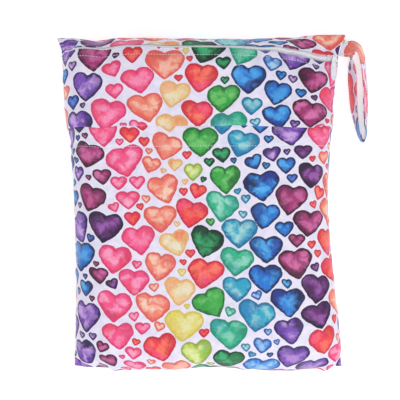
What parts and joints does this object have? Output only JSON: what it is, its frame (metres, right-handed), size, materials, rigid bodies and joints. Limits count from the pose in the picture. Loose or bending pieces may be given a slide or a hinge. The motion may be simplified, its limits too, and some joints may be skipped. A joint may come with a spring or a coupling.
{
  "type": "cloth diaper wet bag",
  "caption": "Stuffed waterproof cloth bag lying on its back, with a zip along the top edge, a lapped pocket across the front and a wrist strap loop at the top corner.",
  "frame": {"origin": "middle of the flat patch of the back that the bag lies on, which is the mount back_rest", "axes": "+Y up the bag to its top edge, +X to the side seam with the strap, +Z out of the front"},
  "size_m": [0.3228, 0.3483, 0.0684],
  "materials": {
    "cloth": "laminated polyester knit, satin, white ground with a printed heart pattern",
    "zip_tape": "woven polyester tape, pale",
    "zip_coil": "spiral nylon coil, pale",
    "zip_metal": "die-cast zinc, pale lacquer"
  },
  "bodies": {
    "bag": {"back_panel": "cloth", "top_strip": "cloth", "upper_panel": "cloth", "pocket_panel": "cloth", "zip_tape_upper": "zip_tape", "zip_tape_lower": "zip_tape", "zip_coil": "zip_coil", "pocket_zip": "zip_tape", "zip_slider": "zip_metal", "strap_loop": "cloth"},
    "pull": {"zip_pull": "zip_metal"}
  },
  "joints": [
    {"name": "pull_swing", "type": "hinge", "parent": "bag", "child": "pull", "pos_m": [0.13548, 0.14989, 0.03505], "axis": [-0.8095, 0.0867, 0.5807], "range_deg": [0, 195]}
  ]
}
